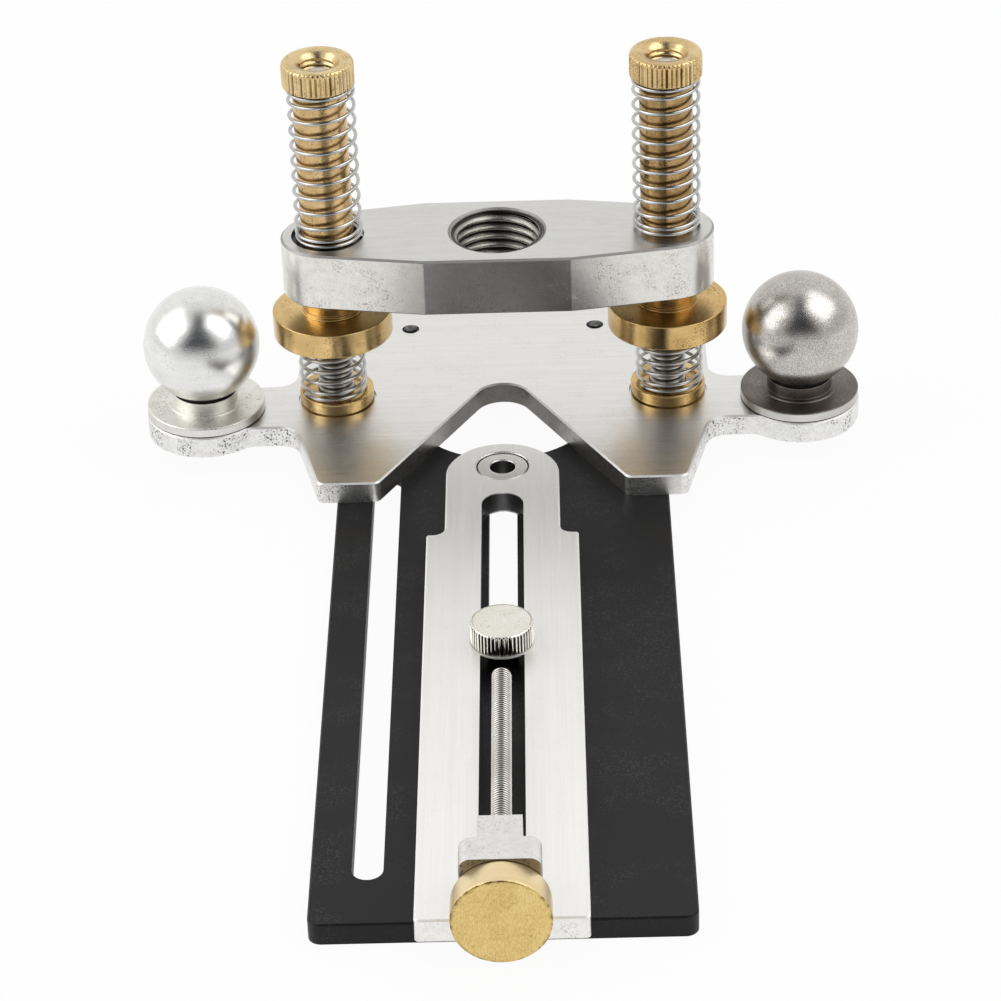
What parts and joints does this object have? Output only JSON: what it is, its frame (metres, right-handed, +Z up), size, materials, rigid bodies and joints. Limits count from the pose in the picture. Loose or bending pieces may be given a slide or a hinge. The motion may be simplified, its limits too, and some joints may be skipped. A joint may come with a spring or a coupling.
{
  "type": "sound hole cutting jig",
  "caption": "Plunge base for a small rotary tool on a long guide plate, with sprung height posts, ball grips and a sliding pivot bar for cutting round sound holes.",
  "frame": {"origin": "on the sole of the guide plate, under the middle of the whole jig; the bit axis is 75.25 mm behind it", "axes": "+Z up, along the posts and the bit; +X along the tool head; +Y from the adjuster knob towards the posts"},
  "size_m": [0.1574, 0.2346, 0.0916],
  "materials": {
    "black_plate": "matte black anodised",
    "aluminium_plate": "brushed",
    "polished_aluminium": "polished",
    "blasted_aluminium": "bead blasted",
    "steel": "turned",
    "spring_steel": "bright drawn wire",
    "chrome": "bright nickel",
    "brass": "turned",
    "black_screws": "black oxide"
  },
  "bodies": {
    "base": {"guide_plate": "black_plate", "base_plate": "aluminium_plate", "left_stud": "steel", "right_stud": "steel", "left_seat_collar": "brass", "right_seat_collar": "brass", "left_ball_knob": "polished_aluminium", "right_ball_knob": "blasted_aluminium", "knob_screws": "steel", "plate_screws": "black_screws", "left_lower_spring": "spring_steel", "right_lower_spring": "spring_steel"},
    "carriage": {"left_upper_spring": "spring_steel", "right_upper_spring": "spring_steel"},
    "left_post": {"left_post_tube": "brass", "left_knurled_cap": "brass", "left_stop_disc": "brass"},
    "right_post": {"right_post_tube": "brass", "right_knurled_cap": "brass", "right_stop_disc": "brass"},
    "tool_head": {"head_yoke": "aluminium_plate"},
    "bar": {"slide_bar": "aluminium_plate", "pivot_bush": "steel", "adjuster_block": "aluminium_plate", "block_screws": "steel"},
    "rod": {"adjuster_rod": "steel"},
    "knob": {"adjuster_knob": "brass"},
    "washer": {"lock_washer": "steel"},
    "screw": {"lock_screw": "chrome"}
  },
  "joints": [
    {"name": "post_rise", "type": "slide", "parent": "base", "child": "carriage", "axis": [0, 0, 1], "range_m": [-0.00625, 0.015], "deforming": ["left_lower_spring", "right_lower_spring"]},
    {"name": "left_post_turn", "type": "hinge", "parent": "carriage", "child": "left_post", "pos_m": [-0.0367, 0.07525, 0.03], "axis": [0, 0, 1], "range_deg": [-1801, 4321]},
    {"name": "right_post_turn", "type": "hinge", "parent": "carriage", "child": "right_post", "pos_m": [0.0367, 0.07525, 0.03], "axis": [0, 0, 1], "range_deg": [-1801, 4321]},
    {"name": "head_lift", "type": "slide", "parent": "carriage", "child": "tool_head", "axis": [0, 0, 1], "range_m": [0, 0.02], "stiffness_N_per_m": 330, "springref_m": -0.014, "deforming": ["left_upper_spring", "right_upper_spring"]},
    {"name": "bar_slide", "type": "slide", "parent": "base", "child": "bar", "axis": [0, 1, 0], "range_m": [-0.052, 0.005]},
    {"name": "rod_travel", "type": "slide", "parent": "bar", "child": "rod", "axis": [0, -1, 0], "range_m": [0, 0.014]},
    {"name": "adjuster_turn", "type": "hinge", "parent": "rod", "child": "knob", "pos_m": [0, -0.11425, 0.01331], "axis": [0, -1, 0], "range_deg": [-1, 7201]},
    {"name": "washer_rise", "type": "slide", "parent": "base", "child": "washer", "axis": [0, 0, 1], "range_m": [0, 0.0025]},
    {"name": "lock_screw_turn", "type": "hinge", "parent": "washer", "child": "screw", "pos_m": [0, -0.02275, 0.011], "axis": [0, 0, 1], "range_deg": [-1, 901]}
  ],
  "couplings": [
    {"joint": "left_post_turn", "follows": "post_rise", "rad_per_m": 5026.5},
    {"joint": "right_post_turn", "follows": "post_rise", "rad_per_m": 5026.5},
    {"joint": "adjuster_turn", "follows": "rod_travel", "rad_per_m": 8976},
    {"joint": "lock_screw_turn", "follows": "washer_rise", "rad_per_m": 6283.2}
  ]
}
